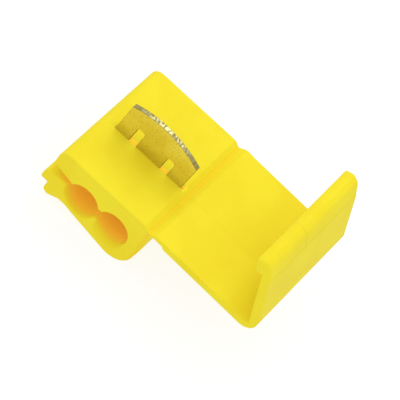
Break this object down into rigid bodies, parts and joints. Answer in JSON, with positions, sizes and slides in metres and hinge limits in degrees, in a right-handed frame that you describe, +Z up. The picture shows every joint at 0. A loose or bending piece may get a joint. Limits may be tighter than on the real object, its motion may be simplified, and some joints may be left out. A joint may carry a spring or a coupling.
{
  "type": "quick splice wire connector",
  "caption": "Hinged quick splice for two insulated wires: a channelled plastic block with a side mouth, a press-in slotted metal contact and a fold-over latching cover.",
  "frame": {"origin": "centre of the bounding box's base, with the cover open", "axes": "+X from the channel block to the open cover, +Y along both wire channels from the mouth of the blind tap channel to its stop, +Z up, out of the block's top face"},
  "size_m": [0.0432, 0.026, 0.0272],
  "materials": {
    "moulding": "smooth satin yellow polypropylene",
    "contact_metal": "dull rolled sheet with bright sheared edges"
  },
  "bodies": {
    "block": {"housing": "moulding"},
    "jaw": {"lower_jaw": "moulding"},
    "cover": {"hinge_strip": "moulding", "cover_plate": "moulding"},
    "latch": {"latch_lip": "moulding"},
    "contact": {"contact": "contact_metal"}
  },
  "joints": [
    {"name": "cover_hinge", "type": "hinge", "parent": "block", "child": "cover", "pos_m": [-0.00061, 0, 0.0131], "axis": [0, -1, 0], "range_deg": [0, 181.81]},
    {"name": "latch_flex", "type": "hinge", "parent": "cover", "child": "latch", "pos_m": [0.02104, 0, 0.01191], "axis": [0, 1, 0], "range_deg": [0, 16.8]},
    {"name": "jaw_flex", "type": "hinge", "parent": "block", "child": "jaw", "pos_m": [-0.00091, 0, 0.00629], "axis": [0, -1, 0], "range_deg": [0, 9], "stiffness_Nm_per_rad": 0.5},
    {"name": "contact_press", "type": "slide", "parent": "block", "child": "contact", "axis": [0, 0, -1], "range_m": [0, 0.0086]}
  ],
  "couplings": [
    {"joint": "latch_flex", "follows": "cover_hinge", "ratio": 0.0924},
    {"joint": "contact_press", "follows": "cover_hinge", "m_per_rad": 0.00271}
  ]
}
